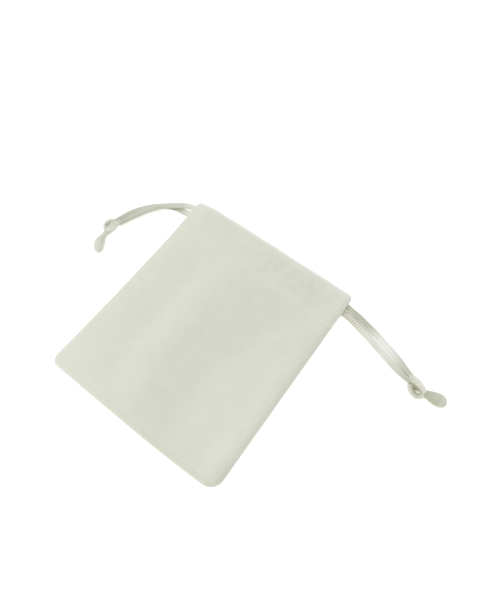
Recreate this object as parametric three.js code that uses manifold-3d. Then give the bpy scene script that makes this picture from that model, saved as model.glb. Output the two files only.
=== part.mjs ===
// A small drawstring pouch of napped suede cloth, empty and lying flat with its mouth a little open.
// Millimetres, +Z up. X runs from side seam to side seam, Y from the bottom seam to the mouth, and the
// table is Z = 0. Two drawstrings of satin ribbon run in the hem, and each leaves it at its own side.

import * as THREE from 'three';
import { mergeVertices } from 'three/addons/utils/BufferGeometryUtils.js';
import Module from 'manifold-3d';

const wasm = await Module();
wasm.setup();

// Cloth body
const bodyWidth = 80;
const bodyLength = 92;
const wall = 1.0; // napped cloth
const clearance = 0.3; // between pieces that touch on the real pouch
const seamHeight = 3.4; // side and bottom seams above the table
const rollWidth = 4.0; // plan width of the rounded edge beside the seams
const mouthRoll = 2.8; // its width at the mouth, where the hem keeps the cloth flat
const rollNarrows = 0.7; // share of the length where it starts to narrow
const rollPower = 2.6; // 2 would be a quarter ellipse; more is fuller at the shoulder
const bottomY = -bodyLength / 2;
const bowFades = 0.5; // share of the length over which the bow of the bottom edge dies out

// The two sides: how far each draws in halfway along, the plan radius of its bottom corner,
// how far the bottom edge draws in there, and where the side seam ends at the mouth
const sides = {
  left: { waist: 0.7, corner: 3.4, bow: 0.1, seamEnd: 44.7 },
  right: { waist: 0.0, corner: 5.5, bow: 0.9, seamEnd: 46.0 },
};

// Height of the front cloth above the table, between the rolled edges
const crown = {
  bottom: { middle: 6.8, side: 6.5 },
  mouth: { middle: 11.7, side: 7.6 },
  levelFrom: 0.83, // share of the length where it has risen to the mouth's height
  reach: 39, // distance from the middle where the crown has come down to the side height
  flatness: 3.5, // power of the crown's fall towards the sides
};

// Soft folds in the front cloth. Each crosses three places along the pouch: bottom, halfway and mouth.
const folds = [
  { bottomX: -3, halfwayX: -9, mouthX: 0, breadth: 7, rise: 0.6 }, // left ridge
  { bottomX: 18, halfwayX: 18, mouthX: 45, breadth: 14, rise: -1.2 }, // valley that swings to the right
  { bottomX: 36.5, halfwayX: 36, mouthX: 35, breadth: 6, rise: 0.5 }, // right ridge
];
// Shares of the pouch's length over which the folds grow from the bottom seam and fade below the hem
const foldSpan = { grownAt: 0.15, fadeFrom: 0.6, fadeTo: 0.85, leftAtHem: 0.25 };

// Mouth: the front lip draws back as it rises, and the side seams end at the corners
const lip = {
  foot: 47.6, // where the lip would lie if it were as low as footHeight
  footHeight: 4.5,
  drawBack: 0.51, // per millimetre of height
  thickened: 2.0, // depth of the doubled cloth along the lip
  step: 1.0, // length over which the doubled cloth ends
};
const backLipY = 45.4;

// Hem turned in along the mouth, stitched down along its inner edge. Its rows go down from the lip.
const hem = {
  depth: 15.2,
  halfLength: 27.0,
  casing: 1.5, // room for a ribbon between the wall and the turned-in layer
  sewnIn: 0.4, // how far its edges sink into the wall
  leavesLip: 1.6,
  stitchedEdge: 0.5,
  rows: [15.2, 14.6, 12.6, 11.4, 10.4, 8.0, 2.8, 2.2, 1.2],
  columns: 12,
};

// Opening in each side seam where the ribbons come out, measured down from the end of the seam
const slot = { top: 0.6, bottom: 9.8, topRamp: 1.0, bottomRamp: 1.6, lift: 1.1 };

// Satin ribbon, drawn together where it goes into a knot
const ribbon = {
  width: 3.0,
  thickness: 0.7,
  gatheredWidth: 1.7,
  gatheredThickness: 1.5,
  gatherLength: 8,
  step: 3.3,
};
// Corners of its section, as shares of half the width and half the thickness
const ribbonCorners = [
  [1, -0.5], [1, 0.5], [0.75, 1], [-0.75, 1], [-1, 0.5], [-1, -0.5], [-0.75, -1], [0.75, -1],
];
const lanes = { high: 4.6, low: 8.6, room: 1.8 }; // the two ribbons in a hem, measured down from the lip
const laneStops = { reach: 22.5, count: 11 }; // places along a hem where a ribbon's middle line is set
const turn = { startX: 28.4, reach: 3.6 }; // where a ribbon goes from the front hem to the back hem

// Ends of the hidden runs between the hem and the side opening, listed from the opening inwards
const runEnds = {
  rightFront: [[34.6, 41.7, 5.7], [31.4, 40.5, 7.5]],
  rightBack: [[34.35, 38.0, 2.4], [31.4, 36.8, 1.9]],
  leftFront: [[-34.6, 36.5, 5.6], [-31.7, 34.4, 7.4]],
  leftBack: [[-34.5, 41.4, 2.4], [-31.4, 41.0, 1.9]],
};

// Free strands from the side openings to the knots
const strandRoutes = {
  right_front_strand: [
    [35.0, 41.8, 5.4], [37.0, 42.3, 4.2], [39.0, 42.6, 3.5], [41.0, 42.55, 3.35], [43.3, 42.25, 3.15],
    [45.4, 42.0, 2.9], [47.5, 41.7, 2.6], [49.6, 41.35, 2.25], [51.7, 40.95, 1.9], [55.8, 40.1, 1.25],
    [59.9, 39.0, 0.8], [63.8, 37.85, 0.75], [67.7, 36.55, 0.75], [71.4, 34.85, 1.1], [74.3, 33.2, 2.3],
  ],
  right_back_strand: [
    [35.0, 38.3, 2.5], [37.0, 38.8, 3.1], [39.0, 39.1, 3.4], [41.0, 39.1, 3.3], [42.8, 39.0, 3.1],
    [44.8, 38.85, 2.95], [46.8, 38.5, 2.7], [48.8, 38.1, 2.4], [50.9, 37.6, 2.1], [55.0, 36.7, 1.4],
    [59.1, 35.7, 0.9], [63.1, 34.55, 0.75], [67.0, 33.3, 0.75], [70.7, 32.1, 1.1], [73.9, 31.0, 2.3],
  ],
  left_back_strand: [
    [-35.0, 41.5, 2.6], [-37.0, 42.0, 3.2], [-39.0, 42.2, 3.45], [-41.0, 42.15, 3.4], [-43.4, 41.7, 3.4],
    [-45.9, 40.5, 3.3], [-48.95, 38.65, 3.0], [-51.9, 36.5, 2.6], [-54.75, 34.05, 2.4], [-56.9, 31.15, 2.2],
    [-58.8, 28.0, 2.1], [-60.4, 24.5, 2.0], [-61.6, 21.6, 2.1], [-62.3, 19.7, 2.2], [-62.8, 18.1, 2.4],
  ],
  left_front_strand: [
    [-34.95, 36.7, 5.4], [-37.0, 38.1, 4.2], [-39.0, 38.65, 3.45], [-41.0, 38.7, 2.95], [-44.5, 38.7, 1.95],
    [-46.8, 38.7, 1.5], [-49.0, 38.5, 1.1], [-53.0, 37.1, 0.7], [-55.8, 35.0, 0.65], [-58.6, 32.3, 0.65],
    [-61.1, 29.3, 0.65], [-63.1, 26.1, 0.65], [-64.4, 23.2, 0.8], [-65.05, 20.2, 1.4], [-65.1, 17.9, 2.3],
  ],
};
// Stretch where two strands lean together on their way down to the table, by their place across the pouch
const leaning = {
  right_front_strand: { degrees: -20, from: 40, full: 43, until: 49, flat: 57 },
  right_back_strand: { degrees: 25, from: 40, full: 43, until: 49, flat: 57 },
};

// Overhand knots in the doubled ribbon: both ribbons go on as one round strand
const knotStrand = {
  entryDiameter: 2.5, // where they come in
  entryShare: 0.12, // share of its length over which they are squeezed
  pieces: 3,
  overlap: 0.03, // shared by neighbouring pieces, as a share of the strand
  swell: 0.02, // each piece is this much thicker than the one before
  steps: 9,
  sides: 8,
};

// Each knot's place and heading, its line in a frame of its own (along the ribbon, across it and up), the
// strand's thickness in it and the sealed tail beyond it. The line goes over the top, round the far end,
// back below itself and out.
const knots = {
  right_knot: {
    place: [78.5, 30.0],
    heading: -16,
    diameter: 2.4,
    line: [
      [-3.9, 0.7, 2.4], [-3.0, 1.1, 2.8], [-1.95, 1.4, 3.2], [0.15, 1.5, 3.4], [2.1, 1.45, 2.9],
      [3.55, 0.7, 2.2], [3.5, -0.7, 1.7], [2.5, -1.9, 1.5], [1.0, -2.2, 1.5], [-0.5, -1.75, 1.5],
      [-1.5, -0.7, 1.5], [-0.8, 0.4, 1.4], [0.8, 0.8, 1.35], [2.4, 0.9, 1.5], [3.8, 0.95, 2.0],
    ],
    tail: [
      { at: [82.0, 29.7, 2.5], half: 1.4 },
      { at: [83.6, 30.2, 2.4], half: 1.8 },
      { at: [85.2, 30.5, 2.3], half: 2.3 },
      { at: [87.0, 30.8, 2.25], half: 2.65 },
      { at: [88.7, 31.1, 2.2], half: 2.65 },
      { at: [90.0, 31.4, 2.1], half: 2.1 },
      { at: [90.7, 31.6, 2.1], half: 1.0 },
    ],
  },
  left_knot: {
    place: [-65.4, 13.6],
    heading: -97,
    diameter: 2.5,
    line: [
      [-3.7, 0.7, 2.3], [-2.9, 0.9, 2.7], [-1.5, 1.0, 3.1], [0.3, 1.0, 3.2], [1.9, 0.9, 2.8],
      [2.7, 0.0, 2.2], [2.4, -1.5, 1.7], [1.1, -2.7, 1.5], [-0.4, -2.8, 1.5], [-1.6, -2.0, 1.6],
      [-1.9, -0.7, 1.6], [-0.9, 0.5, 1.4], [0.9, 0.9, 1.4], [2.5, 1.0, 1.6], [3.5, 1.0, 1.9],
    ],
    tail: [
      { at: [-65.4, 10.5, 2.2], half: 1.2 },
      { at: [-64.9, 8.5, 2.0], half: 1.3 },
      { at: [-64.6, 6.6, 1.95], half: 1.9 },
      { at: [-64.0, 4.6, 1.95], half: 2.3 },
      { at: [-63.0, 2.9, 1.95], half: 2.3 },
      { at: [-61.7, 1.4, 1.9], half: 2.05 },
      { at: [-60.7, 0.4, 1.9], half: 1.0 },
    ],
  },
};
const tailTube = { flatness: 0.8, steps: 8, sides: 10 }; // flatness: height of a tail against its width

const suede = { colour: new THREE.Color('#d8d9cc'), roughness: 0.95 };
const satin = { colour: new THREE.Color('#e2e3da'), roughness: 0.35 };

function clamp01(value) {
  return Math.min(1, Math.max(0, value));
}

function ease(from, to, value) {
  const t = clamp01((value - from) / (to - from));
  return t * t * (3 - 2 * t);
}

function share(y) {
  return clamp01((y - bottomY) / bodyLength);
}

// Rounded edge: 0 at the seam, 1 where the roll ends
function rolled(t) {
  const rest = 1 - clamp01(t);
  return (1 - rest ** rollPower) ** (1 / rollPower);
}

// Width of the rolled edge at a distance along the pouch
function rollAt(y) {
  return rollWidth + (mouthRoll - rollWidth) * ease(rollNarrows, 1, share(y));
}

function sideOf(x) {
  return x < 0 ? sides.left : sides.right;
}

// Drawn-in amount of a side at a distance along the pouch
function waistAt(side, y) {
  const along = (y - bottomY - bodyLength / 2) / (bodyLength / 2);
  return side.waist * (1 - along * along);
}

// Width of one side at a distance along the pouch, with its round bottom corner
function halfWidthAt(side, y, inset) {
  const half = bodyWidth / 2 - inset - waistAt(side, y);
  const radius = side.corner - inset;
  const above = y - bottomY - inset;
  if (above >= radius) return half;
  const below = radius - Math.max(0, above);
  return half - radius + Math.sqrt(radius * radius - below * below);
}

// Distance in plan from the side and bottom seams
function seamDistance(x, y) {
  const side = sideOf(x);
  const sideways = Math.abs(x) + waistAt(side, y) - (bodyWidth / 2 - side.corner);
  const down = bottomY + side.corner - y;
  const outside = Math.hypot(Math.max(sideways, 0), Math.max(down, 0));
  return Math.max(0, side.corner - outside - Math.min(Math.max(sideways, down), 0));
}

function foldHeight(x, y) {
  const t = share(y);
  const fade = 1 - (1 - foldSpan.leftAtHem) * ease(foldSpan.fadeFrom, foldSpan.fadeTo, t);
  const start = ease(0, foldSpan.grownAt, t);
  return folds.reduce((sum, fold) => {
    const ends = fold.bottomX * (1 - t) * (1 - 2 * t) + fold.mouthX * t * (2 * t - 1);
    const middle = ends + 4 * fold.halfwayX * t * (1 - t);
    const off = (x - middle) / fold.breadth;
    return sum + fold.rise * Math.exp(-off * off) * fade * start;
  }, 0);
}

// Height of the front cloth before its edges are rolled down to the seams
function crownHeight(x, y) {
  const t = Math.min(1, share(y) / crown.levelFrom);
  const middle = crown.bottom.middle + (crown.mouth.middle - crown.bottom.middle) * t;
  const side = crown.bottom.side + (crown.mouth.side - crown.bottom.side) * t;
  const fall = Math.min(1, Math.abs(x) / crown.reach) ** crown.flatness;
  return side + (middle - side) * (1 - fall) + foldHeight(x, y);
}

// The seam gapes where the ribbons come out
function seamLift(x, y) {
  const below = sideOf(x).seamEnd - y;
  const opens = ease(slot.top, slot.top + slot.topRamp, below);
  const closes = 1 - ease(slot.bottom - slot.bottomRamp, slot.bottom, below);
  return slot.lift * opens * closes;
}

function frontRim(x, y) {
  return seamHeight + clearance / 2 + seamLift(x, y);
}

function backRim(x, y) {
  return seamHeight - clearance / 2 - seamLift(x, y);
}

function frontOuter(x, y) {
  const rim = frontRim(x, y);
  return rim + (crownHeight(x, y) - rim) * rolled(seamDistance(x, y) / rollAt(y));
}

function frontInner(x, y) {
  const rim = frontRim(x, y);
  const inside = (seamDistance(x, y) - wall) / (rollAt(y) - wall);
  return rim + (crownHeight(x, y) - wall - rim) * rolled(inside);
}

function backOuter(x, y) {
  return backRim(x, y) * (1 - rolled(seamDistance(x, y) / rollAt(y)));
}

function backInner(x, y) {
  const rim = backRim(x, y);
  const inside = (seamDistance(x, y) - wall) / (rollAt(y) - wall);
  return rim + (wall - rim) * rolled(inside);
}

// The lip's place in plan: it draws back where it stands high, and ends at the seam corners
function frontLipY(x) {
  const high = crownHeight(x, bodyLength / 2) - foldHeight(x, bodyLength / 2);
  const drawn = Math.min(sideOf(x).seamEnd, lip.foot - lip.drawBack * (high - lip.footHeight));
  return drawn + (sideOf(x).seamEnd - drawn) * ease(bodyWidth / 2 - rollWidth, bodyWidth / 2, Math.abs(x));
}

function backLip(x) {
  const nearSeam = ease(bodyWidth / 2 - 3 * rollWidth, bodyWidth / 2, Math.abs(x));
  return THREE.MathUtils.lerp(backLipY, sideOf(x).seamEnd, nearSeam);
}

// Fineness of the panels' surfaces, and the rows that follow the hem and the side openings
const grid = { columns: 16, rows: 12, belowLip: [12.4, 9.4, 7.8, 5.0, 2.5, 1.5, 0.5, 0] };

// Places across a half-size: close together on the rolled edge, even in between
const rollSteps = [0, 22.5, 45, 67.5, 90].map((angle) => 1 - Math.cos((angle * Math.PI) / 180));

function columnPlaces(half, roll) {
  const flat = half - roll;
  const left = rollSteps.map((step) => -half + roll * step);
  const right = rollSteps.map((step) => half - roll * step).reverse();
  const step = (2 * flat) / grid.columns;
  const middle = Array.from({ length: grid.columns - 1 }, (_, i) => step * (i + 1) - flat);
  return [...left, ...middle, ...right].map((x) => x / half);
}

// Places along the pouch: the rolled bottom edge, the plain body, then the hem down from the lip
function rowPlaces(inset, roll, lipY) {
  const low = rollSteps.map((step) => bottomY + inset + roll * step);
  const flatStart = bottomY + inset + roll;
  const flatEnd = lipY - hem.depth;
  const step = (flatEnd - flatStart) / grid.rows;
  const body = Array.from({ length: grid.rows }, (_, i) => flatStart + step * (i + 1));
  return [...low, ...body, ...grid.belowLip.map((below) => lipY - below)];
}

// A grid of points on one face of a panel, rows from the bottom seam to the lip
function panelFace(heightAt, lipAt, inset, roundingAtLip) {
  const half = bodyWidth / 2 - inset;
  const roll = rollWidth - inset;
  const byColumn = columnPlaces(half, roll).map((u) => {
    const places = rowPlaces(inset, roll, lipAt(u * half));
    return places.map((y, row) => {
      const side = sideOf(u);
      const x = u * halfWidthAt(side, y, inset);
      const bow = side.bow * u * u * (1 - ease(0, bowFades, share(y)));
      const atLip = row === places.length - 1;
      const rounding = atLip ? roundingAtLip * rolled(seamDistance(x, y) / rollAt(y)) : 0;
      return new THREE.Vector3(x, y + bow, heightAt(x, y) + rounding);
    });
  });
  return byColumn[0].map((_, row) => byColumn.map((column) => column[row]));
}

// A closed wall between two grids of points, the first of them the upper one
function wallBetween(upper, lower) {
  const rows = upper.length;
  const columns = upper[0].length;
  const positions = [...upper.flat(), ...lower.flat()].flatMap((p) => [p.x, p.y, p.z]);
  const top = (row, column) => row * columns + column;
  const under = (row, column) => rows * columns + row * columns + column;
  const triangles = [];
  const quad = (a, b, c, d) => triangles.push(a, b, c, a, c, d);
  const last = { row: rows - 1, column: columns - 1 };
  for (let row = 0; row < last.row; row += 1) {
    for (let column = 0; column < last.column; column += 1) {
      quad(top(row, column), top(row, column + 1), top(row + 1, column + 1), top(row + 1, column));
      quad(under(row, column), under(row + 1, column), under(row + 1, column + 1), under(row, column + 1));
    }
    const right = last.column;
    quad(top(row, 0), top(row + 1, 0), under(row + 1, 0), under(row, 0));
    quad(top(row + 1, right), top(row, right), under(row, right), under(row + 1, right));
  }
  for (let column = 0; column < last.column; column += 1) {
    const end = last.row;
    quad(top(0, column + 1), top(0, column), under(0, column), under(0, column + 1));
    quad(top(end, column), top(end, column + 1), under(end, column + 1), under(end, column));
  }
  const geometry = new THREE.BufferGeometry();
  geometry.setAttribute('position', new THREE.Float32BufferAttribute(positions, 3));
  geometry.setIndex(triangles);
  return geometry;
}

function toSolid(geometry) {
  const bare = geometry.clone();
  bare.deleteAttribute('normal');
  bare.deleteAttribute('uv');
  const merged = mergeVertices(bare, 1e-4);
  const mesh = new wasm.Mesh({
    numProp: 3,
    vertProperties: new Float32Array(merged.attributes.position.array),
    triVerts: new Uint32Array(merged.index.array),
  });
  return new wasm.Manifold(mesh);
}

// Joins closed shapes into one body and keeps its outer skin
function joined(geometries) {
  const whole = geometries.map(toSolid).reduce((sum, solid) => sum.add(solid));
  const bodies = whole.decompose();
  const skin = bodies.reduce((best, body) => (body.volume() > best.volume() ? body : best));
  const mesh = skin.getMesh();
  const geometry = new THREE.BufferGeometry();
  geometry.setAttribute('position', new THREE.Float32BufferAttribute(mesh.vertProperties, 3));
  geometry.setIndex(Array.from(mesh.triVerts));
  geometry.computeVertexNormals();
  return geometry;
}

// How far the hem stands off the wall: full over the two ribbons, nothing along its sewn edges
function casingDepth(belowLip) {
  const opens = ease(hem.leavesLip, lanes.high - lanes.room, belowLip);
  const closes = 1 - ease(lanes.low + lanes.room, hem.depth - hem.stitchedEdge, belowLip);
  return hem.casing * opens * closes;
}

// The hem's inner layer, sewn into the wall along its inner edge and along the lip
function hemLayer(wallFace, lipAt, away) {
  const step = (2 * hem.halfLength) / hem.columns;
  const columns = Array.from({ length: hem.columns + 1 }, (_, i) => step * i - hem.halfLength);
  const face = (offsetAt) =>
    hem.rows.map((depth) =>
      columns.map((x) => {
        const y = lipAt(x) - depth;
        return new THREE.Vector3(x, y, wallFace(x, y) + away * (casingDepth(depth) + offsetAt(depth)));
      }),
    );
  const sewnIn = (depth) => -hem.sewnIn * (1 - casingDepth(depth) / hem.casing);
  return { near: face(sewnIn), far: face(() => wall) };
}

// The lip is doubled cloth: the wall's inner face steps in by one more layer there
function withLip(wallFace, lipAt, away) {
  return (x, y) => {
    const half = lip.step / 2;
    const layer = 1 - ease(lip.thickened - half, lip.thickened + half, lipAt(x) - y);
    return wallFace(x, y) + away * wall * layer * rolled((seamDistance(x, y) - wall) / (rollAt(y) - wall));
  };
}

function frontPanel() {
  const inner = withLip(frontInner, frontLipY, -1);
  const cloth = wallBetween(
    panelFace(frontOuter, frontLipY, 0, -wall / 2),
    panelFace(inner, frontLipY, wall, wall / 2),
  );
  const layer = hemLayer(frontInner, frontLipY, -1);
  return joined([cloth, wallBetween(layer.near, layer.far)]);
}

function backPanel() {
  const inner = withLip(backInner, backLip, 1);
  const cloth = wallBetween(
    panelFace(inner, backLip, wall, -wall / 2),
    panelFace(backOuter, backLip, 0, wall / 2),
  );
  const layer = hemLayer(backInner, backLip, 1);
  return joined([cloth, wallBetween(layer.far, layer.near)]);
}

function smoothCurve(points) {
  return new THREE.CatmullRomCurve3(points, false, 'centripetal');
}

// A closed body of rings: the first and last rings are capped
function closedRings(positions, steps, sides) {
  const triangles = [];
  const corner = (ring, side) => ring * sides + (side % sides);
  for (let i = 0; i < steps; i += 1) {
    for (let j = 0; j < sides; j += 1) {
      triangles.push(corner(i, j), corner(i, j + 1), corner(i + 1, j + 1));
      triangles.push(corner(i, j), corner(i + 1, j + 1), corner(i + 1, j));
    }
  }
  for (let j = 1; j + 1 < sides; j += 1) {
    triangles.push(corner(0, 0), corner(0, j + 1), corner(0, j));
    triangles.push(corner(steps, 0), corner(steps, j), corner(steps, j + 1));
  }
  const geometry = new THREE.BufferGeometry();
  geometry.setAttribute('position', new THREE.Float32BufferAttribute(positions, 3));
  geometry.setIndex(triangles);
  return geometry;
}

function leanAt(x, lean) {
  if (!lean) return 0;
  const amount = ease(lean.from, lean.full, x) * (1 - ease(lean.until, lean.flat, x));
  return (amount * lean.degrees * Math.PI) / 180;
}

// A flat ribbon along a line of points. Its width lies along the pouch, and on a free strand it then turns
// with the line and is gathered at the far end.
function ribbonAlong(route, free, lean) {
  const curve = smoothCurve(route.map((point) => new THREE.Vector3(...point)));
  const length = curve.getLength();
  const steps = Math.round(length / ribbon.step);
  const flatWay = new THREE.Vector3(0, 1, 0);
  const positions = [];
  for (let i = 0; i <= steps; i += 1) {
    const centre = curve.getPointAt(i / steps);
    const along = curve.getTangentAt(i / steps);
    if (!free) flatWay.set(0, 1, 0);
    flatWay.addScaledVector(along, -flatWay.dot(along)).normalize();
    const across = flatWay.clone().applyAxisAngle(along, leanAt(centre.x, lean));
    const up = new THREE.Vector3().crossVectors(along, across);
    const gather = free ? ease(length - ribbon.gatherLength, length, (length * i) / steps) : 0;
    const halfWidth = THREE.MathUtils.lerp(ribbon.width, ribbon.gatheredWidth, gather) / 2;
    const halfThickness = THREE.MathUtils.lerp(ribbon.thickness, ribbon.gatheredThickness, gather) / 2;
    for (const [sideways, upwards] of ribbonCorners) {
      const corner = centre
        .clone()
        .addScaledVector(across, sideways * halfWidth)
        .addScaledVector(up, upwards * halfThickness);
      positions.push(corner.x, corner.y, corner.z);
    }
  }
  return closedRings(positions, steps, ribbonCorners.length);
}

// A ribbon's middle line inside the front or back hem, at a distance below the lip
function frontLane(x, belowLip) {
  const y = frontLipY(x) - belowLip;
  return [x, y, frontInner(x, y) - hem.casing / 2];
}

function backLane(x, belowLip) {
  const y = backLip(x) - belowLip;
  return [x, y, backInner(x, y) + hem.casing / 2];
}

// A half turn from one lane to another: a semicircle that leans with the line between its ends
function halfTurn(from, to, side) {
  return [30, 60, 90, 120, 150].map((angle) => {
    const swing = (angle * Math.PI) / 180;
    const along = (1 - Math.cos(swing)) / 2;
    return [
      from[0] + side * turn.reach * Math.sin(swing),
      from[1] + (to[1] - from[1]) * along,
      from[2] + (to[2] - from[2]) * along,
    ];
  });
}

// The hidden stretch of one drawstring: in by the front hem, round at the far side, back by the back hem
function casingRun(side, frontDepth, backDepth, frontStart, backStart) {
  const gap = (2 * laneStops.reach) / (laneStops.count - 1);
  const across = Array.from({ length: laneStops.count }, (_, i) => side * (laneStops.reach - gap * i));
  const near = side * hem.halfLength;
  const far = -side * turn.startX;
  const frontTurn = frontLane(far, frontDepth);
  const backTurn = backLane(far, backDepth);
  return [
    ...frontStart,
    frontLane(near, frontDepth),
    ...across.map((x) => frontLane(x, frontDepth)),
    frontTurn,
    ...halfTurn(frontTurn, backTurn, -side),
    backTurn,
    ...across.map((x) => backLane(x, backDepth)).reverse(),
    backLane(near, backDepth),
    ...backStart,
  ];
}

// A closed tube of rings along a curve, with a half-width for each place and a flatter height
function ringTube(curve, halfAt, steps, sides, flatness) {
  const frames = curve.computeFrenetFrames(steps, false);
  const positions = [];
  for (let i = 0; i <= steps; i += 1) {
    const centre = curve.getPointAt(i / steps);
    const half = halfAt(i / steps);
    for (let j = 0; j < sides; j += 1) {
      const angle = (2 * Math.PI * j) / sides;
      const ring = centre
        .clone()
        .addScaledVector(frames.normals[i], half * flatness * Math.cos(angle))
        .addScaledVector(frames.binormals[i], half * Math.sin(angle));
      positions.push(ring.x, ring.y, ring.z);
    }
  }
  return closedRings(positions, steps, sides);
}

// The knot's centre line at its place on the table
function knotCurve({ place, heading, line }) {
  const turned = new THREE.Matrix4().makeRotationZ((heading * Math.PI) / 180).setPosition(...place, 0);
  return smoothCurve(line.map((point) => new THREE.Vector3(...point).applyMatrix4(turned)));
}

function knotHalf(diameter, t) {
  const squeezed = ease(0, knotStrand.entryShare, t);
  return THREE.MathUtils.lerp(knotStrand.entryDiameter, diameter, squeezed) / 2;
}

// The knotted strand in short tubes that overlap, because it crosses itself
function knotTubes(knot) {
  const curve = knotCurve(knot);
  return Array.from({ length: knotStrand.pieces }, (_, i) => {
    const from = Math.max(0, i / knotStrand.pieces - knotStrand.overlap);
    const to = Math.min(1, (i + 1) / knotStrand.pieces + knotStrand.overlap);
    const gap = (to - from) / knotStrand.steps;
    const shares = Array.from({ length: knotStrand.steps + 1 }, (_, k) => Math.min(1, from + gap * k));
    const places = shares.map((t) => curve.getPointAt(t));
    const thicker = 1 + knotStrand.swell * i;
    const halfAt = (t) => knotHalf(knot.diameter, from + (to - from) * t) * thicker;
    return ringTube(smoothCurve(places), halfAt, knotStrand.steps, knotStrand.sides, 1);
  });
}

function knotWithTail(knot) {
  const tail = smoothCurve(knot.tail.map(({ at }) => new THREE.Vector3(...at)));
  const tailHalf = (t) => {
    const place = t * (knot.tail.length - 1);
    const row = Math.min(knot.tail.length - 2, Math.floor(place));
    return THREE.MathUtils.lerp(knot.tail[row].half, knot.tail[row + 1].half, place - row);
  };
  const bulb = ringTube(tail, tailHalf, tailTube.steps, tailTube.sides, tailTube.flatness);
  return joined([...knotTubes(knot), bulb]);
}

const rightRun = casingRun(1, lanes.high, lanes.low, runEnds.rightFront, [...runEnds.rightBack].reverse());
const leftRun = casingRun(-1, lanes.low, lanes.high, runEnds.leftFront, [...runEnds.leftBack].reverse());

const suedePieces = { front_panel: frontPanel(), back_panel: backPanel() };
const satinPieces = {
  right_casing_run: ribbonAlong(rightRun, false),
  left_casing_run: ribbonAlong(leftRun, false),
};
for (const [name, route] of Object.entries(strandRoutes)) {
  satinPieces[name] = ribbonAlong(route, true, leaning[name]);
}
for (const [name, knot] of Object.entries(knots)) satinPieces[name] = knotWithTail(knot);

const pouch = new THREE.Group();

function addPieces(pieces, { colour, roughness }) {
  for (const [name, geometry] of Object.entries(pieces)) {
    const material = new THREE.MeshStandardMaterial({ color: colour, roughness, metalness: 0 });
    const mesh = new THREE.Mesh(geometry, material);
    mesh.name = name;
    pouch.add(mesh);
  }
}

addPieces(suedePieces, suede);
addPieces(satinPieces, satin);

export default pouch;
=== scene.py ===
import math
import bpy
import numpy as np
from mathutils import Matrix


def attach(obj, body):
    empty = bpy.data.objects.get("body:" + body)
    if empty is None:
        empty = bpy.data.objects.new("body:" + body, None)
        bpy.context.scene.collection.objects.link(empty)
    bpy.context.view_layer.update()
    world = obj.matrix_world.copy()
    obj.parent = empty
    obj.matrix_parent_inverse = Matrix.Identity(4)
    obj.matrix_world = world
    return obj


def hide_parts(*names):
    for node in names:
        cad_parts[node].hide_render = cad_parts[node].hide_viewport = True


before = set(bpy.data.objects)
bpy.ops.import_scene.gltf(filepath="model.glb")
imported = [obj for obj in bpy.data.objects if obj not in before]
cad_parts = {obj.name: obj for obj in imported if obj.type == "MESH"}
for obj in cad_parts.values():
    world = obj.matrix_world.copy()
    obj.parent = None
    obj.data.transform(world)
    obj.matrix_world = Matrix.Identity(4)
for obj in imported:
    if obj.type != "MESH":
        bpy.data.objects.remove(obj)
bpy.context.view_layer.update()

# a small ivory drawstring pouch of suede cloth, empty and lying flat
# shapes are worked out in millimetres and put into the meshes in metres
mm = 0.001
scene = bpy.context.scene
random = np.random.default_rng(41)


# sRGB hex to linear colour
def linearColour(hexText):
    channels = np.array([int(hexText[i:i + 2], 16) for i in (1, 3, 5)]) / 255
    linear = np.where(channels <= 0.04045, channels / 12.92, ((channels + 0.055) / 1.055) ** 2.4)
    return (*linear.tolist(), 1.0)


# fills a node's sockets with numbers, hex colours or other nodes' outputs
def fillSockets(tree, node, sockets):
    for name, value in sockets.items():
        if isinstance(value, bpy.types.NodeSocket):
            tree.links.new(value, node.inputs[name])
        else:
            node.inputs[name].default_value = linearColour(value) if isinstance(value, str) else value


# adds a shader node, sets its fields and fills its sockets
def addNode(tree, kind, fields=None, sockets=None):
    node = tree.nodes.new(kind)
    for name, value in (fields or {}).items():
        setattr(node, name, value)
    fillSockets(tree, node, sockets or {})
    return node


timesPlus = {"operation": "MULTIPLY_ADD"}  # for a Math node: the first value times the second, plus the third
ofColours = {"data_type": "RGBA"}  # for a Mix node: sockets 6 and 7 are its colours, output 2 the mixed one


# a new material with its node tree and its shader
def newMaterial(name):
    material = bpy.data.materials.new(name)
    material.use_nodes = True
    return material, material.node_tree, material.node_tree.nodes["Principled BSDF"]


# a new object at the origin, linked to the scene
def addObject(name, data):
    item = bpy.data.objects.new(name, data)
    scene.collection.objects.link(item)
    return item


# smooth step from 0 at a to 1 at b
def ease(a, b, value):
    t = np.clip((value - a) / (b - a), 0, 1)
    return t * t * (3 - 2 * t)


# straight line from a at a share of 0 to b at a share of 1
def blend(a, b, share):
    return a + (b - a) * share


# bell curve: 1 at its middle, falling off with the square of the distance
def bell(x, middle, breadth):
    return np.exp(-((x - middle) / breadth) ** 2)


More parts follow.
